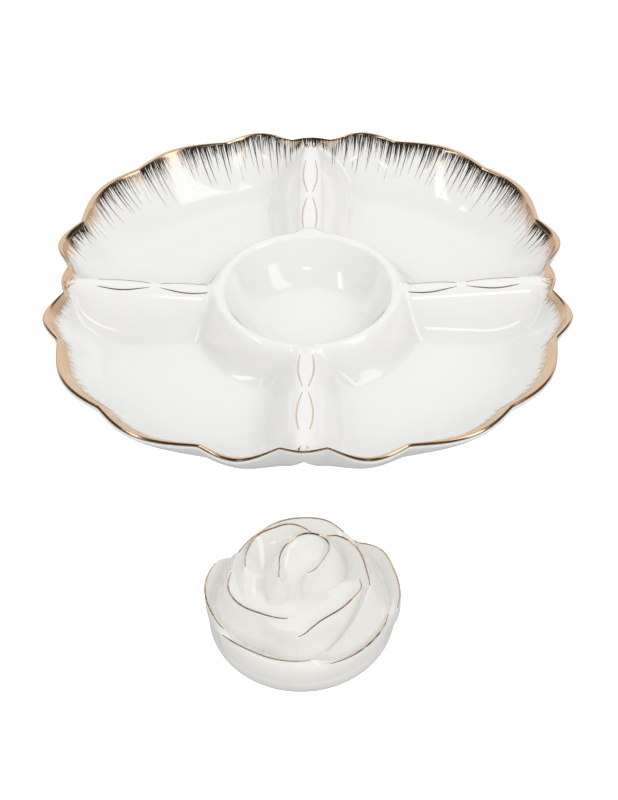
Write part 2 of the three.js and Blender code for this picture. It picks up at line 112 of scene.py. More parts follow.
def through_stations(stations: list[tuple[float, ...]], x: float, column: int) -> float:
    """Follow a smooth curve through stations.

    Args:
        stations: Tuples whose first value rises from one to the next.
        x: Where to read the curve, in the first value's terms.
        column: Which of a station's values to read.

    Returns:
        The curve's value, held at the ends.
    """
    last = len(stations) - 1
    i = 0
    while i < last - 1 and x > stations[i + 1][0]:
        i += 1

    def tangent(j: int) -> float:
        """Give the slope at a station."""
        a, b = stations[max(0, j - 1)], stations[min(last, j + 1)]
        return (b[column] - a[column]) / (b[0] - a[0])

    p, q = stations[i], stations[i + 1]
    span = q[0] - p[0]
    t = clamp((x - p[0]) / span)
    t2, t3 = t * t, t * t * t
    near = (2 * t3 - 3 * t2 + 1) * p[column] + (t3 - 2 * t2 + t) * span * tangent(i)
    return near + (3 * t2 - 2 * t3) * q[column] + (t3 - t2) * span * tangent(i + 1)


# ------------------------------------------------------------------ meshes
def finish_mesh(bm: bmesh.types.BMesh, name: str, sharp: float | None = None) -> bpy.types.Object:
    """Turn a bmesh in millimetres into a smooth-shaded object at the origin.

    Args:
        bm: The finished bmesh, which is freed.
        name: The object's name.
        sharp: Edges that turn by more than this angle, in radians, stay sharp.

    Returns:
        The new object, linked to the scene.
    """
    bmesh.ops.recalc_face_normals(bm, faces=bm.faces[:])
    bmesh.ops.scale(bm, vec=(MM, MM, MM), verts=bm.verts[:])
    mesh = bpy.data.meshes.new(name)
    bm.to_mesh(mesh)
    bm.free()
    mesh.shade_smooth()
    if sharp is not None:
        mesh.set_sharp_from_angle(angle=sharp)
    piece = bpy.data.objects.new(name, mesh)
    bpy.context.scene.collection.objects.link(piece)
    return piece


def spun(
    name: str,
    stations: int,
    steps: int,
    place: Callable[[float, int], Vector],
    closed: bool = False,
) -> bpy.types.Object:
    """Spin a row of stations round the Z axis and put each point where a rule says.

    Args:
        name: The object's name.
        stations: How many points the row has.
        steps: How many steps the full turn takes.
        place: Gives a point's place, in millimetres, from its angle and its station.
        closed: Whether the row's last station joins its first.

    Returns:
        The closed, smooth object.
    """
    bm = bmesh.new()
    number = bm.verts.layers.int.new("station")
    verts = []
    for i in range(stations):
        vert = bm.verts.new((100.0, 0.0, float(i)))
        vert[number] = i
        verts.append(vert)
    pairs = list(zip(verts, verts[1:]))
    if closed:
        pairs.append((verts[-1], verts[0]))
    edges = [bm.edges.new(pair) for pair in pairs]
    bmesh.ops.spin(
        bm, geom=verts + edges, axis=(0, 0, 1), cent=(0, 0, 0), dvec=(0, 0, 0),
        angle=FULL_TURN, steps=steps, use_merge=True, use_duplicate=False)
    for vert in bm.verts:
        step = round(math.atan2(vert.co.y, vert.co.x) / FULL_TURN * steps) % steps
        vert.co = place(step * FULL_TURN / steps, vert[number])
    bmesh.ops.remove_doubles(bm, verts=bm.verts[:], dist=1e-4)
    return finish_mesh(bm, name)


@dataclass
class Stroke:
    """One pull of the gilder's brush: a low ribbon of gold that tapers along a surface."""

    points: list[Vector]
    normals: list[Vector]
    half_widths: list[float]
    half_thickness: float

    def place(self, across: float, above: float, share: float) -> Vector:
        """Put one point of the ribbon's section.

        Args:
            across: From -1 to 1 over the ribbon's width.
            above: From -1 to 1 through its thickness.
            share: From 0 to 1 along it.

        Returns:
            The point, in millimetres.
        """
        i = min(len(self.points) - 1, round(share * (len(self.points) - 1)))
        ahead = self.points[min(i + 1, len(self.points) - 1)] - self.points[max(i - 1, 0)]
        side = ahead.cross(self.normals[i]).normalized()
        return (
            self.points[i]
            + side * across * self.half_widths[i]
            + self.normals[i] * above * self.half_thickness)


def painted(name: str, strokes: list[Stroke], sides: int, sharp: float | None = None) -> bpy.types.Object:
    """Make one piece out of strokes that all have the same number of points.

    Args:
        name: The object's name.
        strokes: The strokes.
        sides: How many sides a stroke's section has.
        sharp: Edges that turn by more than this angle, in radians, stay sharp.

    Returns:
        The piece.
    """
    sections = len(strokes[0].points) - 1
    rod = bmesh.new()
    bmesh.ops.create_cone(
        rod, cap_ends=True, cap_tris=False, segments=sides, radius1=1, radius2=1, depth=1)
    bmesh.ops.rotate(
        rod, verts=rod.verts[:], cent=(0, 0, 0), matrix=Matrix.Rotation(math.pi / sides, 3, "Z"))
    uprights = [e for e in rod.edges if abs(e.verts[0].co.z - e.verts[1].co.z) > 0.5]
    bmesh.ops.subdivide_edges(rod, edges=uprights, cuts=sections - 1)
    pattern = bpy.data.meshes.new("rod")
    rod.to_mesh(pattern)
    each = len(rod.verts)
    rod.free()
    bm = bmesh.new()
    for _ in strokes:
        bm.from_mesh(pattern)
    bpy.data.meshes.remove(pattern)
    corner = math.cos(math.pi / sides) if sides == 4 else 1.0
    for i, vert in enumerate(bm.verts):
        across, above, along = vert.co
        vert.co = strokes[i // each].place(across / corner, above / corner, along + 0.5)
    return finish_mesh(bm, name, sharp)


def dress(piece: bpy.types.Object, material: bpy.types.Material) -> None:
    """Give a piece its one material."""
    piece.data.materials.clear()
    piece.data.materials.append(material)


def hand_over(piece: bpy.types.Object, body: Body, slot: Slot, *nodes: str) -> None:
    """Ride a piece on its body and stand it in for its CAD nodes.

    Args:
        piece: The finished piece.
        body: The CAD body that it moves with.
        slot: The material slot of its finish; not used.
        nodes: The CAD nodes that it replaces.
    """
    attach(piece, body.value)
    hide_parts(*nodes)
    LOG.info("%s: %d faces", piece.name, len(piece.data.polygons))


# ------------------------------------------------------------------ finishes
def new_group(name: str, inputs: dict[str, float], outputs: dict[str, str]) -> bpy.types.ShaderNodeTree:
    """Start a node group with named number inputs and named outputs.

    Args:
        name: The group's name.
        inputs: Each input's name and default value.
        outputs: Each output's name and socket type.

    Returns:
        The group, with its two end nodes in place.
    """
    group = bpy.data.node_groups.new(name, "ShaderNodeTree")
    for label, value in inputs.items():
        socket = group.interface.new_socket(name=label, in_out="INPUT", socket_type="NodeSocketFloat")
        socket.default_value = value
    for label, kind in outputs.items():
        group.interface.new_socket(name=label, in_out="OUTPUT", socket_type=kind)
    group.nodes.new("NodeGroupInput").name = "in"
    group.nodes.new("NodeGroupOutput").name = "out"
    return group


def kiln_variation() -> bpy.types.ShaderNodeTree:
    """Build the shared effect of firing: slow drift, fine speckle and a faintly wavy surface.

    Returns:
        A group with the outputs Drift and Speckle, from 0 to 1, and Waves, a height.
    """
    group = new_group(
        "kiln_variation",
        {"Drift Scale": 14.0, "Speckle Scale": 600.0, "Wave Scale": 60.0},
        {"Drift": "NodeSocketFloat", "Speckle": "NodeSocketFloat", "Waves": "NodeSocketFloat"})
    nodes, links = group.nodes, group.links
    where = nodes.new("ShaderNodeTexCoord")
    for label, detail in (("Drift", 2.0), ("Speckle", 1.0), ("Waves", 1.0)):
        cloud = nodes.new("ShaderNodeTexNoise")
        cloud.inputs["Detail"].default_value = detail
        scale = "Wave Scale" if label == "Waves" else f"{label} Scale"
        links.new(nodes["in"].outputs[scale], cloud.inputs["Scale"])
        links.new(where.outputs["Object"], cloud.inputs["Vector"])
        if label == "Speckle":
            rare = nodes.new("ShaderNodeMapRange")
            rare.inputs["From Min"].default_value, rare.inputs["From Max"].default_value = SPECKLE_LIMITS
            links.new(cloud.outputs["Fac"], rare.inputs["Value"])
            links.new(rare.outputs["Result"], nodes["out"].inputs[label])
        else:
            links.new(cloud.outputs["Fac"], nodes["out"].inputs[label])
    return group


def foot_mask() -> bpy.types.ShaderNodeTree:
    """Build the mask of the unglazed clay that stands on the table.

    Returns:
        A group whose output Bare is 1 below the height Bare Below, in metres.
    """
    group = new_group("foot_mask", {"Bare Below": 0.0008}, {"Bare": "NodeSocketFloat"})
    nodes, links = group.nodes, group.links
    where = nodes.new("ShaderNodeTexCoord")
    apart = nodes.new("ShaderNodeSeparateXYZ")
    fade = nodes.new("ShaderNodeMapRange")
    fade.inputs["From Min"].default_value = 0.0
    fade.inputs["To Min"].default_value = 1.0
    fade.inputs["To Max"].default_value = 0.0
    links.new(where.outputs["Object"], apart.inputs["Vector"])
    links.new(apart.outputs["Z"], fade.inputs["Value"])
    links.new(nodes["in"].outputs["Bare Below"], fade.inputs["From Max"])
    links.new(fade.outputs["Result"], nodes["out"].inputs["Bare"])
    return group


def placed_group(tree: bpy.types.NodeTree, group: bpy.types.NodeTree, **values: float) -> bpy.types.Node:
    """Put a node group into a material and set its inputs.

    Args:
        tree: The material's node tree.
        group: The node group.
        values: Input values; an underscore stands for a space.

    Returns:
        The group node.
    """
    node = tree.nodes.new("ShaderNodeGroup")
    node.node_tree = group
    for label, value in values.items():
        node.inputs[label.replace("_", " ")].default_value = value
    return node


def mixed_colours(
    tree: bpy.types.NodeTree, factor: bpy.types.NodeSocket, a: tuple, b: tuple
) -> bpy.types.NodeSocket:
    """Mix two colours by a factor and give the resulting socket."""
    node = tree.nodes.new("ShaderNodeMix")
    node.data_type = "RGBA"
    for socket, colour in ((node.inputs[6], a), (node.inputs[7], b)):
        if isinstance(colour, bpy.types.NodeSocket):
            tree.links.new(colour, socket)
        else:
            socket.default_value = (*colour, 1)
    tree.links.new(factor, node.inputs[0])
    return node.outputs[2]


def ranged(
    tree: bpy.types.NodeTree, value: bpy.types.NodeSocket, low: float, high: float
) -> bpy.types.NodeSocket:
    """Carry a 0 to 1 value to another range and give the resulting socket."""
    node = tree.nodes.new("ShaderNodeMapRange")
    node.inputs["To Min"].default_value = low
    node.inputs["To Max"].default_value = high
    tree.links.new(value, node.inputs["Value"])
    return node.outputs["Result"]


@dataclass(frozen=True)
class Glaze:
    """White porcelain glaze over pale clay, bare where it stands on the table."""

    name: str
    light: tuple[float, float, float]
    shade: tuple[float, float, float]
    clay: tuple[float, float, float] = (0.72, 0.69, 0.64)
    gloss: float = 0.045
    body_roughness: float = 0.12
    clay_roughness: float = 0.85
    speckle_share: float = 0.12
    coat_ior: float = 1.5
    body_ior: float = 1.3
    wave_height: float = 0.00006

    def material(self, kiln: bpy.types.NodeTree, foot: bpy.types.NodeTree) -> bpy.types.Material:
        """Build the material.

        Args:
            kiln: The group of kiln_variation.
            foot: The group of foot_mask.

        Returns:
            The glaze.
        """
        material = bpy.data.materials.new(self.name)
        material.use_nodes = True
        tree = material.node_tree
        shader = tree.nodes["Principled BSDF"]
        fired = placed_group(tree, kiln)
        bare = placed_group(tree, foot)
        glazed = mixed_colours(tree, fired.outputs["Drift"], self.shade, self.light)
        speckled = mixed_colours(
            tree, ranged(tree, fired.outputs["Speckle"], 0.0, self.speckle_share), glazed, self.clay)
        colour = mixed_colours(tree, bare.outputs["Bare"], speckled, self.clay)
        tree.links.new(colour, shader.inputs["Base Color"])
        roughness = ranged(tree, bare.outputs["Bare"], self.body_roughness, self.clay_roughness)
        tree.links.new(roughness, shader.inputs["Roughness"])
        tree.links.new(ranged(tree, bare.outputs["Bare"], 1.0, 0.0), shader.inputs["Coat Weight"])
        shader.inputs["Coat Roughness"].default_value = self.gloss
        shader.inputs["Coat IOR"].default_value = self.coat_ior
        shader.inputs["IOR"].default_value = self.body_ior
        bump = tree.nodes.new("ShaderNodeBump")
        bump.inputs["Distance"].default_value = self.wave_height
        tree.links.new(fired.outputs["Waves"], bump.inputs["Height"])
        tree.links.new(bump.outputs["Normal"], shader.inputs["Normal"])
        return material


@dataclass(frozen=True)
class GoldLustre:
    """Fired gold lustre: bright, a little rosy, thinner and duller in places."""

    name: str
    rich: tuple[float, float, float] = (0.80, 0.54, 0.33)
    thin: tuple[float, float, float] = (0.82, 0.62, 0.44)
    smoothest: float = 0.10
    dullest: float = 0.24
    drift_scale: float = 90.0
    wave_scale: float = 420.0
    wave_height: float = 0.00002

    def material(self, kiln: bpy.types.NodeTree) -> bpy.types.Material:
        """Build the material.

        Args:
            kiln: The group of kiln_variation.

        Returns:
            The gold.
        """
        material = bpy.data.materials.new(self.name)
        material.use_nodes = True
        tree = material.node_tree
        shader = tree.nodes["Principled BSDF"]
        fired = placed_group(tree, kiln, Drift_Scale=self.drift_scale, Wave_Scale=self.wave_scale)
        colour = mixed_colours(tree, fired.outputs["Drift"], self.rich, self.thin)
        tree.links.new(colour, shader.inputs["Base Color"])
        roughness = ranged(tree, fired.outputs["Drift"], self.smoothest, self.dullest)
        tree.links.new(roughness, shader.inputs["Roughness"])
        shader.inputs["Metallic"].default_value = 1.0
        bump = tree.nodes.new("ShaderNodeBump")
        bump.inputs["Distance"].default_value = self.wave_height
        tree.links.new(fired.outputs["Waves"], bump.inputs["Height"])
        tree.links.new(bump.outputs["Normal"], shader.inputs["Normal"])
        return material


# ------------------------------------------------------------------ tray
class Region(Enum):
    """Which rule places a point of the tray's outline."""

    TOP = 1
    RIM = 2
    UNDER = 3


@dataclass(frozen=True)
class TrayForm:
    """Sizes of the tray in millimetres, and the surfaces that follow from them.

    The rim is 0.7 mm inside the CAD's, because a smooth lobe passes outside the CAD's
    facets.
    """

    rim_radius: float = 169.3
    rim_height: float = 39.8
    wall: float = 4.4
    wall_run: float = 53.8
    floor_height: float = 9.0
    scallops: tuple[tuple[float, float], ...] = (
        (0, -12), (5, -14.5), (14, -0.5), (21.5, -5.3), (36, 5.1), (45, 1.5))
    scallop_sharpness: float = 1.2
    scallop_fade: float = 2.8
    bowl_floor: tuple[float, float] = (26.0, 6.0)
    bowl_mouth: tuple[float, float] = (53.2, 28.8)
    bowl_crest: tuple[float, float] = (57.3, 30.6)
    bowl_flank_run: float = 22.4
    bowl_floor_pull: float = 13.0
    bowl_wall_pull: tuple[float, float] = (4.5, 8.0)
    lip_pull: tuple[float, float] = (0.9, 1.6)
    crest_pull: float = 1.8
    flank_pulls: tuple[float, float] = (6.0, 12.0)
    dividers: int = 4
    divider_start: float = 29.6
    divider_climb: float = 0.079
    divider_below_rim: float = 3.5
    divider_slope: float = 1.25
    divider_half_width: float = 5.0
    divider_fillet: float = 9.0
    foot_outer: float = 99.0
    foot_inner: float = 92.0
    foot_flare: float = 2.2
    foot_edge: float = 0.4
    pad_radius: float = 36.0
    recess: float = 3.6
    hollow_clay: float = 1.8
    hollow_blend: float = 3.0
    widest_share: float = 1.1
    band_start: float = math.radians(49)

    @property
    def crown_radius(self) -> float:
        """Radius of the rounded rim."""
        return self.wall / 2

    @property
    def floor_edge(self) -> float:
        """Radius where the floor turns up into the wall."""
        return self.rim_radius - self.wall / 2 - self.wall_run

    @property
    def midwall_radius(self) -> float:
        """Radius of the arc along the middle of the wall."""
        rise = self.rim_height - self.floor_height
        return (self.wall_run**2 + rise**2) / (2 * rise)

    @property
    def crown_angle(self) -> float:
        """How far the wall's arc turns, in radians, before the crown."""
        rise = self.rim_height - self.floor_height
        return math.atan2(self.wall_run, self.midwall_radius - rise)

    @property
    def inner_arc(self) -> float:
        """Radius of the wall's inner face."""
        return self.midwall_radius - self.crown_radius

    def rim_at(self, angle: float) -> float:
        """Give the scalloped rim's radius at an angle in radians."""
        sector = 360 / self.dividers
        turned = math.degrees(angle) % sector
        folded = min(turned, sector - turned)
        i = 0
        while i < len(self.scallops) - 2 and folded > self.scallops[i + 1][0]:
            i += 1
        (near, out), (far, beyond) = self.scallops[i], self.scallops[i + 1]
        t = clamp((folded - near) / (far - near))
        notch, lobe, way = (out, beyond, t) if out < beyond else (beyond, out, 1 - t)
        return self.rim_radius + mix(notch, lobe, math.sin(way * math.pi / 2) ** self.scallop_sharpness)

    def scalloped(self, angle: float, rho: float) -> float:
        """Carry a profile radius to the real one; the scallops fade out down the wall."""
        share = (rho - self.floor_edge) / (self.rim_radius - self.floor_edge)
        share = clamp(share, 0, self.widest_share)
        return rho + (self.rim_at(angle) - self.rim_radius) * share**self.scallop_fade

    def beside_divider(self, angle: float, radius: float) -> float:
        """Give the sideways distance from the nearest divider's middle line."""
        sector = FULL_TURN / self.dividers
        return abs(radius * math.sin(angle - round(angle / sector) * sector))

    def divider_top(self, radius: float) -> float:
        """Give the height of a divider's ridge."""
        inside = max(0.0, self.bowl_crest[0] + self.wall / 2 - radius)
        climb = self.divider_start + (radius - self.bowl_crest[0]) * self.divider_climb - 2 * inside
        return min(climb, self.rim_height - self.divider_below_rim)

    def wall_height(self, rho: float) -> float:
        """Give the height of the floor, and of the wall's inner face up to the crown."""
        run = clamp(rho - self.floor_edge, 0, self.inner_arc)
        return self.floor_height + self.inner_arc - math.sqrt(self.inner_arc**2 - run**2)

    def lift(self, angle: float, rho: float, level: float) -> float:
        """Give how far a divider raises the top surface, fading out up the rim."""
        radius = self.scalloped(angle, rho)
        past = max(0.0, self.beside_divider(angle, radius) - 0.4 * self.divider_half_width)
        round_off = math.hypot(past, self.divider_half_width) - self.divider_half_width
        ridge = self.divider_top(radius) - self.divider_slope * round_off
        crown = self.rim_radius - self.wall
        fade = 1 - clamp((rho - crown + self.divider_fillet) / self.divider_fillet) ** 2
        return (soft_max(level, ridge, self.divider_fillet) - level) * fade

    def place(self, angle: float, rho: float, z: float, region: Region) -> Vector:
        """Put a point of the outline at an angle.

        Args:
            angle: Angle round the tray, in radians.
            rho: The point's radius before the scallops.
            z: Its height before the dividers.
            region: Which rule places it.

        Returns:
            The point, in millimetres.
        """
        radius = self.scalloped(angle, rho)
        inside = rho < self.rim_radius - self.wall
        if region is Region.TOP or (region is Region.RIM and inside):
            if rho >= self.bowl_mouth[0]:
                level = self.wall_height(rho) if rho > self.floor_edge else z
                z += self.lift(angle, rho, level)
        elif region is Region.UNDER:
            solid = (
                rho < self.bowl_crest[0] + self.wall
                or z < self.recess - 0.01
                or z > self.rim_height - 2 * self.wall)
            if not solid:
                beside = self.beside_divider(angle, radius)
                clay = self.hollow_clay * self.wall
                hollow = self.divider_top(radius) - clay - self.divider_slope * beside
                z = soft_max(z, hollow, self.hollow_blend)
        return Vector((radius * math.cos(angle), radius * math.sin(angle), z))

    def on_wall(self, angle: float, rho: float) -> Vector:
        """Give a point of the top surface between the floor and the crown."""
        return self.place(angle, rho, self.wall_height(rho), Region.TOP)

    def normal(self, angle: float, rho: float) -> Vector:
        """Give the top surface's normal at a point of the wall."""
        step = 0.3
        out = self.on_wall(angle, rho + step) - self.on_wall(angle, rho - step)
        turn = step / rho
        round_ = self.on_wall(angle + turn, rho) - self.on_wall(angle - turn, rho)
        return out.cross(round_).normalized()


def arc_points(
    centre: tuple[float, float], radius: float, start: float, end: float, steps: int
) -> list[tuple[float, float]]:
    """Give points of an arc in the outline's plane; angles in radians from straight down."""
    points = []
    for i in range(steps + 1):
        a = mix(start, end, i / steps)
        points.append((centre[0] + radius * math.sin(a), centre[1] - radius * math.cos(a)))
    return points


def bezier_points(
    a: tuple[float, float],
    b: tuple[float, float],
    c: tuple[float, float],
    d: tuple[float, float],
    steps: int,
) -> list[tuple[float, float]]:
    """Give points of a cubic curve, without its first."""
    points = []
    for i in range(1, steps + 1):
        t = i / steps
        u = 1 - t
        points.append(tuple(
            u**3 * a[k] + 3 * u * u * t * b[k] + 3 * u * t * t * c[k] + t**3 * d[k] for k in (0, 1)))
    return points


def rounded(points: list[tuple[float, float]], passes: int) -> list[tuple[float, float]]:
    """Round off the corners of a row of points; its two ends stay."""
    for _ in range(passes):
        smoother = [points[0]]
        for (ax, az), (bx, bz) in zip(points, points[1:]):
            smoother.append((mix(ax, bx, 0.25), mix(az, bz, 0.25)))
            smoother.append((mix(ax, bx, 0.75), mix(az, bz, 0.75)))
        smoother.append(points[-1])
        points = smoother
    return points


@dataclass
class ServingTray:
    """The scalloped tray: the casting, the gilding of its rim and the lines on its dividers."""

    form: TrayForm = field(default_factory=TrayForm)
    steps: int = 504  # some fall on the sharp notches, 5 degrees from each divider
    # The unbroken gold: half its thickness, where it ends outside, and its reach inside.
    skin: float = 0.09
    skin_sections: int = 14
    skin_end: float = math.radians(122)
    back_share: float = 0.85
    back_band: float = 1.2
    front_band: float = 7.5
    # The band's unevenness: how many ripples round the tray, their phase and their size.
    ripples: tuple[tuple[int, float, float], ...] = ((37, 0, 0.3), (61, 1, 0.25))
    ripple_share_back: float = 0.4
    # The brush strokes below it; the front's are a share of the back's length.
    long_strokes: int = 200
    long_length: tuple[float, float] = (20, 33)
    long_front: float = 0.3
    long_width: tuple[float, float] = (0.8, 1.2)
    long_taper: float = 0.8
    short_strokes: int = 2000
    short_length: tuple[float, float] = (5, 19)
    short_front: float = 0.45
    short_width: tuple[float, float] = (0.7, 1.1)
    short_taper: float = 0.6
    fan_shortest: float = 0.55
    fan_growth: float = 0.6
    lean: float = 0.008
    stroke_sections: int = 8
    section_crowding: float = 1.9  # over 1, the sections crowd at the stroke's start
    stroke_thickness: float = 0.07
    finest: float = 0.03
    under_skin: float = 0.5
    # The lines on the dividers: where they run, how far apart they are and their size.
    line_start: float = 3.4
    line_end: float = 23.7
    knot: float = 3.0
    knot_apart: float = 1.9
    ends_apart: float = 3.3
    widest_apart: float = 4.8
    line_half_width: float = 0.5
    line_thickness: float = 0.2
    tail_run: float = 14.0
    tail_apart: tuple[float, float] = (3.6, 1.4)
    tail_half_width: float = 0.5
    tail_thickness: float = 0.12

    @property
    def arc_centre(self) -> tuple[float, float]:
        """Middle of the wall's arcs, in the outline's plane."""
        return self.form.floor_edge, self.form.floor_height + self.form.inner_arc

    @property
    def crown_centre(self) -> tuple[float, float]:
        """Middle of the rounded rim, in the outline's plane."""
        a = self.form.crown_angle
        return arc_points(self.arc_centre, self.form.midwall_radius, a, a, 1)[0]

    def rim_path(self, steps: int) -> list[tuple[float, float]]:
        """Give the rim's outline up the last of the wall and over the crown.

        Args:
            steps: How many steps the wall takes; the crown takes twice as many.

        Returns:
            Points from the inside over the crown to the outside.
        """
        form = self.form
        a = form.crown_angle
        return (
            arc_points(self.arc_centre, form.inner_arc, form.band_start, a, steps)[:-1]
            + arc_points(self.crown_centre, form.crown_radius, a + math.pi, a, 2 * steps))

    def gilt_profile(self, down: float, offset: float = 0.0) -> tuple[float, float]:
        """Follow the rim's profile from the top of its crown down the inside.

        Args:
            down: How far to go, in millimetres; less than nothing goes down the outside.
            offset: How far outside the clay, in millimetres.

        Returns:
            The radius before the scallops, and the height.
        """
        form = self.form
        crown_run = form.crown_radius * form.crown_angle
        if down <= crown_run:
            turn = math.pi + down / form.crown_radius
            return arc_points(self.crown_centre, form.crown_radius + offset, turn, turn, 1)[0]
        turn = form.crown_angle - (down - crown_run) / form.inner_arc
        return arc_points(self.arc_centre, form.inner_arc - offset, turn, turn, 1)[0]

    def gilt_point(self, angle: float, down: float, offset: float = 0.0) -> Vector:
        """Give a point of the rim's gilding at an angle."""
        return self.form.place(angle, *self.gilt_profile(down, offset), Region.RIM)

    def gilt_normal(self, angle: float, down: float) -> Vector:
        """Give the surface's normal at a point of the rim's gilding."""
        step = 0.25
        turn = step / self.form.rim_radius
        up = self.gilt_point(angle, down - step) - self.gilt_point(angle, down + step)
        round_ = self.gilt_point(angle + turn, down) - self.gilt_point(angle - turn, down)
        return up.cross(round_).normalized()

    def frontness(self, angle: float) -> float:
        """Give 1 in the tray's front half and 0 at its back, with a soft change between."""
        return smooth(self.back_share - math.sin(angle))

    def band(self, angle: float) -> float:
        """Give how far the unbroken gold reaches down the inside, a little uneven."""
        front = self.frontness(angle)
        uneven = sum(size * math.sin(n * angle + phase) for n, phase, size in self.ripples)
        even = mix(self.back_band, self.front_band, front)
        return even + uneven * (self.ripple_share_back + front)

    def outline(self) -> list[tuple[float, float, Region]]:
        """Give the casting's whole outline, from the axis over the top and back below."""
        form = self.form
        (fx, fz), (mx, mz), (cx, cz) = form.bowl_floor, form.bowl_mouth, form.bowl_crest
        flank = (cx + form.bowl_flank_run, form.floor_height)
        top = [(fx * i / 10, fz) for i in range(11)]
        wall_pull = (mx - form.bowl_wall_pull[0], mz - form.bowl_wall_pull[1])
        lip_pull = (mx + form.lip_pull[0], mz + form.lip_pull[1])
        flank_pull = (flank[0] - form.flank_pulls[1], flank[1])
        top += bezier_points((fx, fz), (fx + form.bowl_floor_pull, fz), wall_pull, (mx, mz), 22)
        top += bezier_points((mx, mz), lip_pull, (cx - form.crest_pull, cz), (cx, cz), 10)
        top += bezier_points((cx, cz), (cx + form.flank_pulls[0], cz), flank_pull, flank, 20)
        run = form.floor_edge - flank[0]
        top += [(flank[0] + run * i / 16, form.floor_height) for i in range(1, 16)]
        top += arc_points(self.arc_centre, form.inner_arc, 0, form.band_start, 30)
        rim = self.rim_path(10)[1:]
        hollow = mz - form.wall
        outside = arc_points(
            self.arc_centre, form.inner_arc + form.wall, form.crown_angle, 0.1, 20)[1:]
        below = [
            outside[-1],
            (form.foot_outer + form.foot_flare, form.recess),
            (form.foot_outer + 1, form.foot_edge),
            (form.foot_outer - 1, 0),
            (form.foot_inner + 1, 0),
            (form.foot_inner - 1, form.foot_edge),
            (form.foot_inner - form.foot_flare, form.recess),
            (cx + form.bowl_flank_run - 3, form.recess + 0.1),
            (cx + 3, hollow - 3),
            (cx - 1, hollow),
            (mx + 1, hollow - 4),
            (form.pad_radius + 7, form.recess),
            (form.pad_radius + 1, 0.3),
            (form.pad_radius, 0),
            (0, 0),
        ]
        return (
            [(x, z, Region.TOP) for x, z in top]
            + [(x, z, Region.RIM) for x, z in rim]
            + [(x, z, Region.UNDER) for x, z in outside]
            + [(x, z, Region.UNDER) for x, z in rounded(below, 1)[1:]])

    def casting(self) -> bpy.types.Object:
        """Make the one glazed casting."""
        outline = self.outline()
        LOG.info("tray outline: %d stations", len(outline))
        return spun(
            "tray_casting", len(outline), self.steps,
            lambda angle, i: self.form.place(angle, *outline[i]))

    def gilded_skin(self) -> bpy.types.Object:
        """Make the gold that wraps the rim, tapering to nothing at both of its edges."""
        outside = -(math.pi - self.skin_end) * self.form.crown_radius
        sections = self.skin_sections

        def place(angle: float, i: int) -> Vector:
            """Place the skin's outer face first, and then its inner face back again."""
            inner = i > sections
            way = (2 * sections - i if inner else i) / sections
            down = mix(self.band(angle), outside, way)
            thickness = 0.0 if way in (0.0, 1.0) else self.skin
            return self.gilt_point(angle, down, -self.skin if inner else thickness)

        return spun("rim_skin", 2 * sections, self.steps, place, closed=True)

    def brush_stroke(
        self, angle: float, length: float, width: float, lean: float, taper: float
    ) -> Stroke:
        """Pull one stroke from the rim down the inside of the wall.

        Args:
            angle: Where it starts, in radians round the tray.
            length: How far it runs down the wall, in millimetres.
            width: Its width at the rim.
            lean: How far it drifts sideways, in radians.
            taper: 1 for an even taper, and less to lose its width sooner.

        Returns:
            The stroke.
        """
        start = self.band(angle) - self.under_skin
        points, normals, half_widths = [], [], []
        for i in range(self.stroke_sections + 1):
            t = (i / self.stroke_sections) ** self.section_crowding
            down = start + length * t
            at = angle + lean * t
            points.append(self.gilt_point(at, down))
            normals.append(self.gilt_normal(at, down))
            half_widths.append(width / 2 * (1 - t**taper) + self.finest)
        return Stroke(points, normals, half_widths, self.stroke_thickness)

    def brushwork(self) -> bpy.types.Object:
        """Make the long strokes and the fine hatching that run down from the gilded rim.

        Each long stroke leads a fan of fine ones that get shorter away from it.
        """
        draw = random.Random(17)
        strokes = []
        for i in range(self.long_strokes):
            angle = (i + draw.uniform(-0.3, 0.3)) * FULL_TURN / self.long_strokes
            reach = mix(1.0, self.long_front, self.frontness(angle))
            strokes.append(self.brush_stroke(
                angle, draw.uniform(*self.long_length) * reach, draw.uniform(*self.long_width),
                draw.uniform(-self.lean, self.lean), self.long_taper))
        fan = self.short_strokes // self.long_strokes
        for i in range(self.short_strokes):
            angle = (i + draw.uniform(-0.5, 0.5)) * FULL_TURN / self.short_strokes
            reach = mix(1.0, self.short_front, self.frontness(angle))
            reach *= self.fan_shortest + self.fan_growth * (i % fan) / fan
            strokes.append(self.brush_stroke(
                angle, draw.uniform(*self.short_length) * reach, draw.uniform(*self.short_width),
                draw.uniform(-self.lean, self.lean), self.short_taper))
        for number in range(self.form.dividers):
            for side in (-1, 1):
                strokes.append(self.divider_tail(number * FULL_TURN / self.form.dividers, side))
        return painted("rim_brushwork", strokes, 4, math.radians(50))

    def divider_tail(self, heading: float, side: int) -> Stroke:
        """Paint the short curved line between the rim and the divider's outer pair of lines."""
        points, normals, half_widths = [], [], []
        for i in range(self.stroke_sections + 1):
            t = i / self.stroke_sections
            down = mix(self.front_band - 1, self.front_band + self.tail_run, t)
            sideways = side * mix(*self.tail_apart, t * t)
            at = heading + sideways / self.gilt_profile(down)[0]
            points.append(self.gilt_point(at, down))
            normals.append(self.gilt_normal(at, down))
            swell = math.sin(math.pi * clamp(t, 0.05, 0.95)) ** 0.5
            half_widths.append(self.tail_half_width * mix(0.2, 1.0, swell))
        return Stroke(points, normals, half_widths, self.tail_thickness)

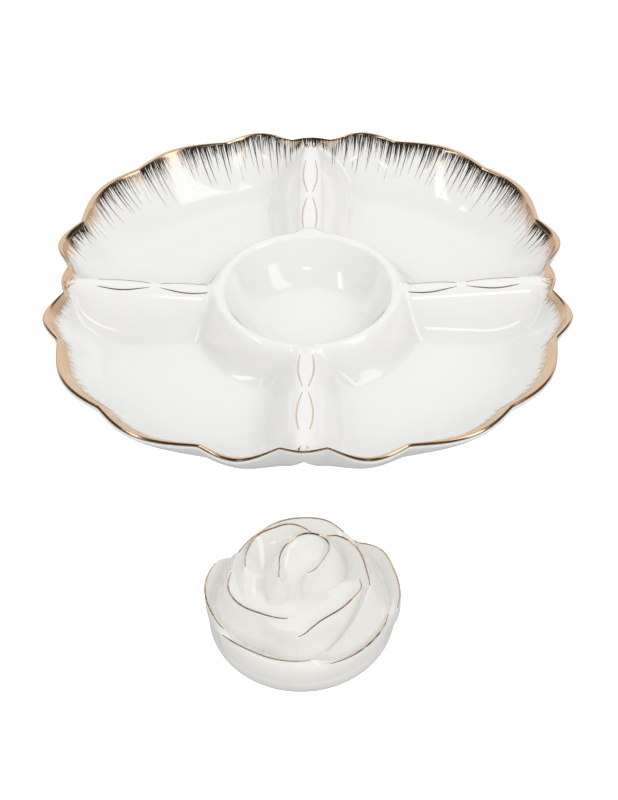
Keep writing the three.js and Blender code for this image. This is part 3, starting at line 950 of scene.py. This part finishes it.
    def divider_line(self, heading: float, lens: int, side: int) -> Stroke:
        """Paint one side of a pair of curved lines on top of a divider.

        Args:
            heading: The divider's direction, in radians.
            lens: -1 for the pair next to the bowl, 1 for the pair next to the rim.
            side: Which side of the ridge, -1 or 1.

        Returns:
            The line.
        """
        form = self.form
        start = form.bowl_crest[0] + self.line_start
        end = form.floor_edge + form.inner_arc * math.sin(form.band_start) - self.line_end
        length = (end - start) / 2 - self.knot
        knot = (start + end) / 2
        sections = 20
        points, normals, half_widths = [], [], []
        for i in range(sections + 1):
            t = i / sections
            rho = knot + lens * (self.knot + t * length)
            bulge = self.widest_apart - (self.knot_apart + self.ends_apart) / 2
            straight = mix(self.knot_apart, self.ends_apart, t)
            sideways = side * (straight + bulge * math.sin(math.pi * t))
            angle = math.asin(sideways / form.scalloped(0, rho))
            points.append(form.on_wall(heading + angle, rho))
            normals.append(form.normal(heading + angle, rho))
            swell = math.sin(math.pi * clamp(t, 0.02, 0.98)) ** 0.5
            half_widths.append(self.line_half_width * mix(0.25, 1.0, swell))
        return Stroke(points, normals, half_widths, self.line_thickness)

    def build(self, glaze: bpy.types.Material, gold: bpy.types.Material) -> None:
        """Make and dress every piece of the tray."""
        casting = self.casting()
        dress(casting, glaze)
        hand_over(casting, Body.TRAY, Slot.TRAY_GLAZE, "tray")
        skin = self.gilded_skin()
        dress(skin, gold)
        hand_over(skin, Body.TRAY, Slot.GOLD, "rim_gilding")
        brushwork = self.brushwork()
        dress(brushwork, gold)
        hand_over(brushwork, Body.TRAY, Slot.GOLD, "rim_gilding")
        for number, place in enumerate(("right", "back", "left", "front")):
            heading = number * FULL_TURN / self.form.dividers
            for lens, lens_name in ((-1, "inner"), (1, "outer")):
                for side, side_name in ((1, "a"), (-1, "b")):
                    name = f"divider_line_{place}_{lens_name}_{side_name}"
                    line = painted(f"{name}_gold", [self.divider_line(heading, lens, side)], 8)
                    dress(line, gold)
                    hand_over(line, Body.TRAY, Slot.GOLD, name)


# ------------------------------------------------------------------ rose lid
@dataclass(frozen=True)
class Petal:
    """One petal.

    Its lip goes through stations of degrees, distance and height. Behind the lip it is hollowed
    by its cup, in millimetres. The first few degrees of the lip may be bare of gold.
    """

    name: str
    lip: tuple[tuple[float, float, float], ...]
    cup: float
    cup_run: float = 5.0
    centre: tuple[float, float] = (0.0, 0.0)
    outer: bool = False
    bare: float = 0.0


def petals(wall: float, height: float) -> list[Petal]:
    """Give the rose's ten petals.

    Args:
        wall: Radius of the lid's wall, in millimetres.
        height: Height of the lid.

    Returns:
        The petals, the outer ones first.
    """
    lips = {
        "outer_left": (
            (-212, 0.84, 0.53), (-206, 0.97, 0.54), (-200, 1.01, 0.54), (-184, 1.03, 0.52),
            (-162, 0.97, 0.48), (-149, 0.93, 0.46)),
        "outer_front_left": (
            (-146, 0.98, 0.46), (-127, 0.9, 0.44), (-109, 0.87, 0.42), (-83, 0.85, 0.42)),
        "outer_front_right": ((-70, 0.93, 0.4), (-53, 0.95, 0.42), (-27, 0.98, 0.48), (-19, 0.97, 0.52)),
        "outer_right": (
            (-12, 1.04, 0.5), (-4, 1.05, 0.54), (15, 1.02, 0.58), (33, 1, 0.58), (49, 0.85, 0.56)),
        "middle_left": (
            (-185, 0.74, 0.75), (-171, 0.77, 0.73), (-156, 0.73, 0.71),
            (-133, 0.6, 0.69), (-105, 0.5, 0.65)),
        "middle_right": (
            (-91, 0.68, 0.6), (-66, 0.56, 0.67), (-31, 0.6, 0.73), (-12, 0.65, 0.75), (-4, 0.62, 0.75)),
        "back": (
            (53, 0.76, 0.77), (70, 0.81, 0.79), (87, 0.81, 0.79),
            (109, 0.79, 0.79), (127, 0.75, 0.79), (153, 0.75, 0.75)),
        "inner_left": (
            (78, 0.51, 0.9), (100, 0.63, 0.9), (119, 0.64, 0.9),
            (133, 0.67, 0.88), (154, 0.64, 0.85), (172, 0.59, 0.83)),
        "inner_right": (
            (-15, 0.75, 0.85), (0, 0.69, 0.88), (29, 0.65, 0.9), (50, 0.59, 0.9), (59, 0.52, 0.9)),
        "bud": (
            (-80, 0.22, 0.94), (-17, 0.21, 0.98), (28, 0.29, 1),
            (74, 0.29, 1), (139, 0.23, 1), (208, 0.29, 0.96), (225, 0.37, 0.92)),
    }
    cups = {"inner_left": 8.0, "inner_right": 17.0, "back": 5.0, "middle_left": 5.0, "middle_right": 5.0}
    made = []
    for name, lip in lips.items():
        made.append(Petal(
            name,
            tuple((degrees, out * wall, up * height) for degrees, out, up in lip),
            cup=cups.get(name, 10.0),
            centre=(0.04 * wall, 0.12 * wall) if name == "bud" else (0.0, 0.0),
            outer=name.startswith("outer"),
            bare=11.0 if name == "outer_left" else 0.0))
    return made


@dataclass(frozen=True)
class RoseForm:
    """Sizes of the rose-shaped lid in millimetres, and its surface.

    The lip values shape every petal's edge, the heart values the body between the petals, and
    the tongue values the bud's inside, which runs out to the front.
    """

    wall: float = 49.6
    height: float = 47.7
    base: float = 47.0
    corner_height: float = 7.0
    cavity: float = 43.0
    shoulder: float = 9.0
    crown: float = 17.0
    flare: float = 0.5
    flare_fade: float = 0.4
    lip_fall: float = 2.2
    lip_round: float = 1.3
    lip_fade: float = 0.5
    end_round: float = 8.0
    edge_blend: float = 2.5
    edge_least: float = 1.5
    cup_curve: float = 1.4
    blend: float = 4.5
    heart_height: float = 36.0
    heart_depth: float = 7.0
    heart_radius: float = 5.0
    heart_run: float = 7.0
    heart_lean: float = 4.0
    heart_reach: float = 30.0
    heart_edge: float = 8.0
    tongue_height: float = 0.915
    tongue_slope: float = 0.1
    tongue_fall: float = 0.045
    tongue_start: float = 1.0
    tongue_crown: float = 0.012
    tongue_spread: float = 0.1
    roll: float = 2.5
    mouth_fade: float = 22.0
    stroke_half_width: float = 0.56
    stroke_half_thickness: float = 0.2

    def along(self, petal: Petal, angle: float) -> tuple[float, float, float]:
        """Find where an angle lies along a lip.

        Args:
            petal: The petal.
            angle: An angle in radians round the petal's centre.

        Returns:
            The lip's distance and height there, and the degrees past its nearer end.
        """
        first, last = petal.lip[0][0], petal.lip[-1][0]
        middle = (first + last) / 2
        unwrapped = middle + (math.degrees(angle) - middle + 180) % 360 - 180
        nearest = clamp(unwrapped, first, last)
        return (
            through_stations(petal.lip, nearest, 1),
            through_stations(petal.lip, nearest, 2),
            abs(unwrapped - nearest))

    def edge(self, lips: list[tuple[float, float, float]]) -> float:
        """Give the lid's outer edge, pushed out where an outer lip flares past the wall."""
        edge = self.wall - self.flare
        for distance, _, past in lips:
            edge = soft_max(edge, distance + self.flare - self.flare_fade * past, self.edge_blend)
        return edge


@dataclass
class RoseLid:
    """The rose-shaped lid: one glazed casting and a gilded line on every petal's lip."""

    form: RoseForm = field(default_factory=RoseForm)
    stand: Vector = field(default_factory=lambda: Vector((0.0, -245.0, 0.0)))
    steps: int = 450
    rings: int = 170
    wall_steps: int = 16
    cavity_steps: int = 14
    petals: list[Petal] = field(init=False)
    known: dict[float, list[tuple[float, float, float]]] = field(init=False, default_factory=dict)

    def __post_init__(self) -> None:
        """Lay out the petals."""
        self.petals = petals(self.form.wall, self.form.height)

    def lips(self, angle: float) -> list[tuple[float, float, float]]:
        """Give every petal's lip at an angle round the lid's own middle."""
        if angle not in self.known:
            self.known[angle] = [self.form.along(petal, angle) for petal in self.petals]
        return self.known[angle]

    def outer_edge(self, angle: float) -> float:
        """Give the radius of the lid's edge at an angle."""
        lips = [lip for petal, lip in zip(self.petals, self.lips(angle)) if petal.outer]
        return self.form.edge(lips)

    def petal_height(
        self, petal: Petal, lip: tuple[float, float, float], out: float, edge: float
    ) -> float:
        """Give one petal's height.

        Args:
            petal: The petal.
            lip: Its lip's distance and height there, and the degrees past the lip's end.
            out: How far outside the lip, in millimetres; less than nothing is inside.
            edge: Radius of the lid's edge there.

        Returns:
            The height.
        """
        form = self.form
        distance, height, past = lip
        if out > 0 and petal.outer:
            share = min(1.0, out / max(form.edge_least, edge - distance))
            fall = (height - form.shoulder) * (1 - math.sqrt(1 - share**2))
        elif out > 0:
            fall = form.lip_fall * (math.hypot(out, form.lip_round) - form.lip_round)
        else:
            fall = petal.cup * (1 - math.exp(out / petal.cup_run)) ** form.cup_curve
        return height - fall - form.lip_fade * (math.hypot(past, form.end_round) - form.end_round)

    def bud_height(self, petal: Petal, x: float, y: float, edge: float) -> float:
        """Give the bud's height: a rolled lip round a tongue that runs out to the front.

        Args:
            petal: The bud.
            x: A point of the lid's plan, in millimetres.
            y: The same, towards the back.
            edge: Radius of the lid's edge there.

        Returns:
            The height.
        """
        form = self.form
        dx, dy = x - petal.centre[0], y - petal.centre[1]
        distance, level, past = form.along(petal, math.atan2(dy, dx))
        out = math.hypot(dx, dy) - distance
        ahead = max(0.0, -dy - form.tongue_start)
        tongue = form.tongue_height * form.height + form.tongue_slope * dy
        tongue -= form.tongue_fall * ahead**2 + form.tongue_crown * dx**2
        if out > 0:
            rolled = self.petal_height(petal, (distance, level, 0.0), out, edge)
        else:
            rolled = mix(tongue, level, math.exp(out / form.roll))
        open_end = tongue - form.tongue_spread * max(0.0, out) ** 1.3
        return mix(rolled, open_end, smooth(past / form.mouth_fade))

    def heart_height(self, x: float, y: float) -> float:
        """Give the height of the body that shows between the petals."""
        form = self.form
        bud = self.petals[-1].centre
        away = math.hypot(x - bud[0], y - bud[1] + form.heart_lean)
        sunk = 1 - math.exp(-max(0.0, away - form.heart_radius) / form.heart_run)
        past = (math.hypot(x, y) - form.heart_reach) / form.heart_edge
        return mix(form.heart_height - form.heart_depth * sunk, form.shoulder, smooth(past))

    def top(self, angle: float, radius: float) -> float:
        """Give the height of the lid's top surface."""
        edge = self.outer_edge(angle)
        x, y = radius * math.cos(angle), radius * math.sin(angle)
        height = self.heart_height(x, y)
        for petal, lip in zip(self.petals, self.lips(angle)):
            if petal.name == "bud":
                own = self.bud_height(petal, x, y, edge)
            else:
                own = self.petal_height(petal, lip, radius - lip[0], edge)
            height = soft_max(height, own, self.form.blend)
        return height

    def place(self, angle: float, i: int) -> Vector:
        """Put a point of the lid's outline at an angle.

        Args:
            angle: Angle round the lid, in radians.
            i: Its station: the top's rings, then the wall, the base and the cavity.

        Returns:
            The point, in millimetres.
        """
        form = self.form
        edge = self.outer_edge(angle)
        if i <= self.rings:
            t = i / self.rings
            radius = edge * (1 - (1 - t) ** 1.5)
            z = self.top(angle, radius)
        elif i <= self.rings + self.wall_steps:
            t = 1 - (i - self.rings) / self.wall_steps
            z = self.top(angle, edge) * t**1.4
            corner = max(0.0, 1 - z / form.corner_height)
            flared = mix(form.wall, edge, smooth((z - form.corner_height) / form.shoulder))
            radius = flared - (form.wall - form.base) * corner**2
        else:
            t = 1 - (i - self.rings - self.wall_steps - 1) / self.cavity_steps
            radius = t * form.cavity
            z = (form.height - form.crown) * (1 - t**2)
        return self.stand + Vector((radius * math.cos(angle), radius * math.sin(angle), z))

    def casting(self) -> bpy.types.Object:
        """Make the one glazed casting."""
        stations = 1 + self.rings + self.wall_steps + self.cavity_steps + 1
        return spun("rose_casting", stations, self.steps, self.place)

    def lip_line(self, petal: Petal) -> Stroke:
        """Paint the line on a petal's lip."""
        first, last = petal.lip[0][0] + petal.bare, petal.lip[-1][0]
        sections = 40
        points, half_widths = [], []
        for i in range(sections + 1):
            t = i / sections
            degrees = mix(first, last, t)
            distance = through_stations(petal.lip, degrees, 1)
            x = petal.centre[0] + distance * math.cos(math.radians(degrees))
            y = petal.centre[1] + distance * math.sin(math.radians(degrees))
            points.append(Vector((x, y, self.top(math.atan2(y, x), math.hypot(x, y)))))
            swell = math.sin(math.pi * clamp(t, 0.02, 0.98)) ** 0.4
            half_widths.append(self.form.stroke_half_width * mix(0.2, 1.0, swell))
        normals = [self.normal(p) for p in points]
        placed = [p + self.stand for p in points]
        return Stroke(placed, normals, half_widths, self.form.stroke_half_thickness)

    def normal(self, point: Vector) -> Vector:
        """Give the top surface's normal over a point of the lid's plan."""
        step = 0.4

        def height(x: float, y: float) -> float:
            """Give the height over a point."""
            return self.top(math.atan2(y, x), math.hypot(x, y))

        dx = height(point.x + step, point.y) - height(point.x - step, point.y)
        dy = height(point.x, point.y + step) - height(point.x, point.y - step)
        return Vector((-dx / (2 * step), -dy / (2 * step), 1)).normalized()

    def build(self, glaze: bpy.types.Material, gold: bpy.types.Material) -> None:
        """Make and dress every piece of the lid."""
        casting = self.casting()
        dress(casting, glaze)
        hand_over(casting, Body.LID, Slot.LID_GLAZE, "rose_lid")
        for petal in self.petals:
            line = painted(f"lid_line_{petal.name}_gold", [self.lip_line(petal)], 8)
            dress(line, gold)
            hand_over(line, Body.LID, Slot.GOLD, f"lid_line_{petal.name}")


# ------------------------------------------------------------------ studio
@dataclass(frozen=True)
class SoftBox:
    """A soft light: the direction that it stands in, its distance, its size and brightness."""

    name: str
    direction: tuple[float, float, float]
    size: tuple[float, float]
    radiance: float
    distance: float = 1.6
    turn: float = 0.0

    def build(self, aim: Vector) -> None:
        """Hang the light, facing a point in metres."""
        lamp = bpy.data.lights.new(self.name, "AREA")
        lamp.shape = "RECTANGLE"
        lamp.size, lamp.size_y = self.size
        lamp.energy = self.radiance * self.size[0] * self.size[1] * math.pi
        box = bpy.data.objects.new(self.name, lamp)
        towards = Vector(self.direction).normalized()
        box.location = aim + towards * self.distance
        turned = towards.to_track_quat("Z", "Y").to_matrix().to_4x4() @ Matrix.Rotation(self.turn, 4, "Z")
        box.rotation_euler = turned.to_euler()
        bpy.context.scene.collection.objects.link(box)


@dataclass
class Studio:
    """White floor, bright surroundings with one dark side, soft boxes and the camera."""

    eye: tuple[float, float, float] = (0.02273, -0.77068, 0.65917)
    target: tuple[float, float, float] = (0.00123, -0.07245, 0.0)
    roll: float = math.radians(-1.381)
    lens: float = 69.8
    floor_white: float = 0.15
    floor_bounce: float = 0.42
    floor_glow: float = 1.2
    front_fill: float = 1.12
    back_fill: float = 0.66
    bright_side: float = 0.95
    dark_side: float = 0.02
    dark_to_bright: tuple[float, float] = (0.36, 0.58)
    back_to_front: tuple[float, float] = (0.7, -0.7)
    aim: tuple[float, float, float] = (0.0, -0.05, 0.02)
    exposure: float = -0.08
    boxes: tuple[SoftBox, ...] = (
        SoftBox("right_box", (0.544, -0.075, 0.836), (1.7, 0.4), 2.2, turn=math.radians(49)),
        SoftBox("left_strip", (-0.547, -0.01, 0.837), (1.1, 0.16), 3.2, turn=math.radians(-23)),
        SoftBox("front_lamp", (0.03, -0.53, 0.85), (0.3, 0.16), 3.2),
    )

    def camera(self) -> None:
        """Place the camera."""
        lens = bpy.data.cameras.new("camera")
        lens.sensor_width = 36.0
        lens.sensor_fit = "AUTO"
        lens.lens = self.lens
        camera = bpy.data.objects.new("camera", lens)
        eye, target = Vector(self.eye), Vector(self.target)
        facing = (eye - target).to_track_quat("Z", "Y").to_matrix().to_4x4()
        camera.matrix_world = Matrix.Translation(eye) @ facing @ Matrix.Rotation(self.roll, 4, "Z")
        bpy.context.scene.collection.objects.link(camera)
        bpy.context.scene.camera = camera

    def floor(self) -> None:
        """Lay the floor: white to the eye, and a softer white to whatever stands on it."""
        bm = bmesh.new()
        bmesh.ops.create_grid(bm, x_segments=1, y_segments=1, size=4000)
        floor = finish_mesh(bm, "floor")
        material = bpy.data.materials.new("floor_paper")
        material.use_nodes = True
        tree = material.node_tree
        shader = tree.nodes["Principled BSDF"]
        shader.inputs["Base Color"].default_value = (*(self.floor_white,) * 3, 1)
        shader.inputs["Roughness"].default_value = 0.9
        shader.inputs["Specular IOR Level"].default_value = 0.0
        shader.inputs["Emission Color"].default_value = (1, 1, 1, 1)
        ray = tree.nodes.new("ShaderNodeLightPath")
        glow = ranged(tree, ray.outputs["Is Camera Ray"], self.floor_bounce, self.floor_glow)
        tree.links.new(glow, shader.inputs["Emission Strength"])
        dress(floor, material)

    def between(
        self, tree: bpy.types.NodeTree, value: bpy.types.NodeSocket, low: float, high: float
    ) -> bpy.types.NodeSocket:
        """Ease from 0 to 1 as a value goes from one limit to the other."""
        node = tree.nodes.new("ShaderNodeMapRange")
        node.interpolation_type = "SMOOTHSTEP"
        node.inputs["From Min"].default_value = low
        node.inputs["From Max"].default_value = high
        tree.links.new(value, node.inputs["Value"])
        return node.outputs["Result"]

    def world(self) -> None:
        """Surround the scene with white; mirrors also see a dark side all over the front."""
        world = bpy.data.worlds.new("surroundings")
        bpy.context.scene.world = world
        world.use_nodes = True
        tree = world.node_tree
        where = tree.nodes.new("ShaderNodeTexCoord")
        apart = tree.nodes.new("ShaderNodeSeparateXYZ")
        tree.links.new(where.outputs["Generated"], apart.inputs["Vector"])
        white = self.between(tree, apart.outputs["Y"], *self.dark_to_bright)
        ray = tree.nodes.new("ShaderNodeLightPath")
        mirrored = mixed_colours(tree, white, (self.dark_side,) * 3, (self.bright_side,) * 3)
        fill = self.between(tree, apart.outputs["Y"], *self.back_to_front)
        lit = mixed_colours(tree, fill, (self.back_fill,) * 3, (self.front_fill,) * 3)
        seen = mixed_colours(tree, ray.outputs["Is Glossy Ray"], lit, mirrored)
        background = tree.nodes["Background"]
        tree.links.new(seen, background.inputs["Color"])

    def build(self) -> None:
        """Set up everything that isn't part of the object."""
        self.camera()
        self.floor()
        self.world()
        for box in self.boxes:
            box.build(Vector(self.aim))
        scene = bpy.context.scene
        scene.view_settings.view_transform = "Standard"
        scene.view_settings.exposure = self.exposure


def main() -> None:
    """Build the server and its studio."""
    logging.basicConfig(level=logging.INFO, format="%(name)s: %(message)s")
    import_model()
    kiln, foot = kiln_variation(), foot_mask()
    gold = GoldLustre("gold_lustre").material(kiln)
    wavy_gold = GoldLustre("gold_line_lustre", wave_scale=150.0, wave_height=0.0007).material(kiln)
    tray_glaze = Glaze("tray_glaze", (0.90, 0.90, 0.885), (0.87, 0.87, 0.85))
    # The lid's glaze is a darker, warmer copy of the tray's white glaze: painted shade, lowering the
    # whole rose to how dark it looks among its petals.
    lid_glaze = Glaze("lid_glaze", (0.865, 0.86, 0.82), (0.83, 0.825, 0.78))
    Studio().build()
    ServingTray().build(tray_glaze.material(kiln, foot), gold)
    RoseLid().build(lid_glaze.material(kiln, foot), wavy_gold)


if __name__ == "__main__":
    main()
